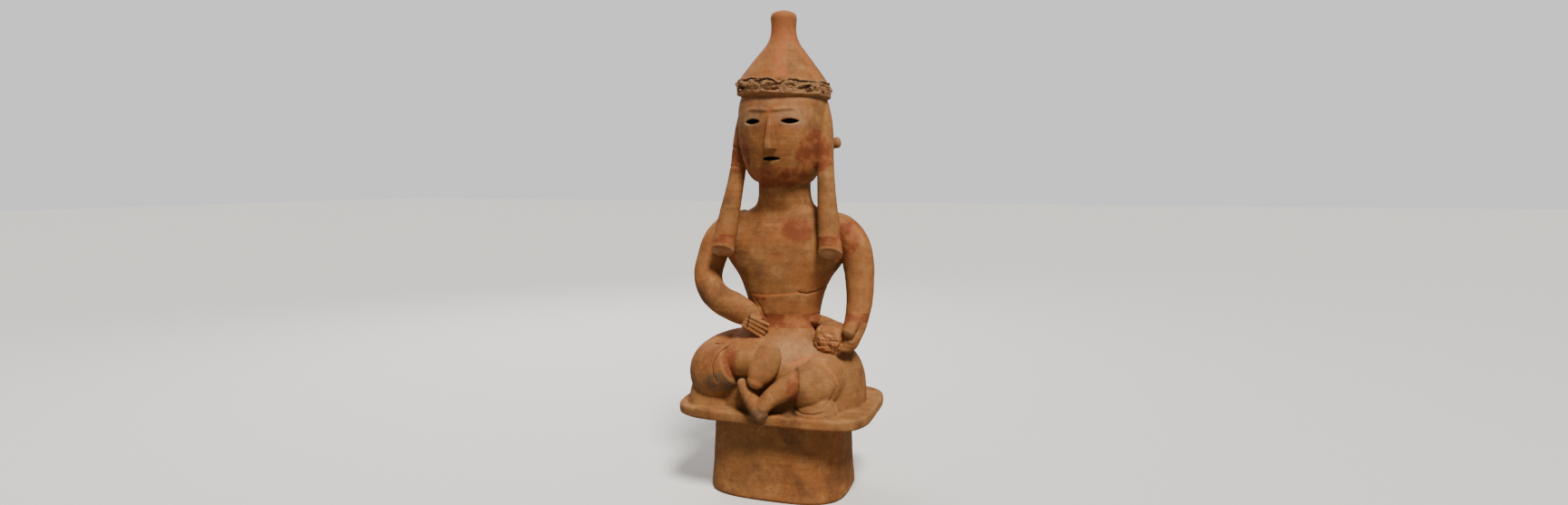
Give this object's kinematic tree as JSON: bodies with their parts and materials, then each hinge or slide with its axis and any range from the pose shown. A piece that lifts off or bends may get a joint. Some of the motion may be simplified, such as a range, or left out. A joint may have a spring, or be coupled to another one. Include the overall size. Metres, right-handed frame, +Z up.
{
  "type": "haniwa figure",
  "caption": "Terracotta tomb figure of a seated, cross-legged man in a tall pointed hat with a broken brim, on a slab and a plain hollow base.",
  "frame": {"origin": "middle of the underside of the base", "axes": "+Z up from the base to the tip of the hat, -Y the way that the figure faces, +X towards its left hand"},
  "size_m": [0.436, 0.335, 1.062],
  "materials": {
    "terracotta": "matt low-fired clay, tan to orange, with worn red ochre paint"
  },
  "bodies": {
    "root": {"haniwa_figure": "terracotta"}
  },
  "joints": []
}
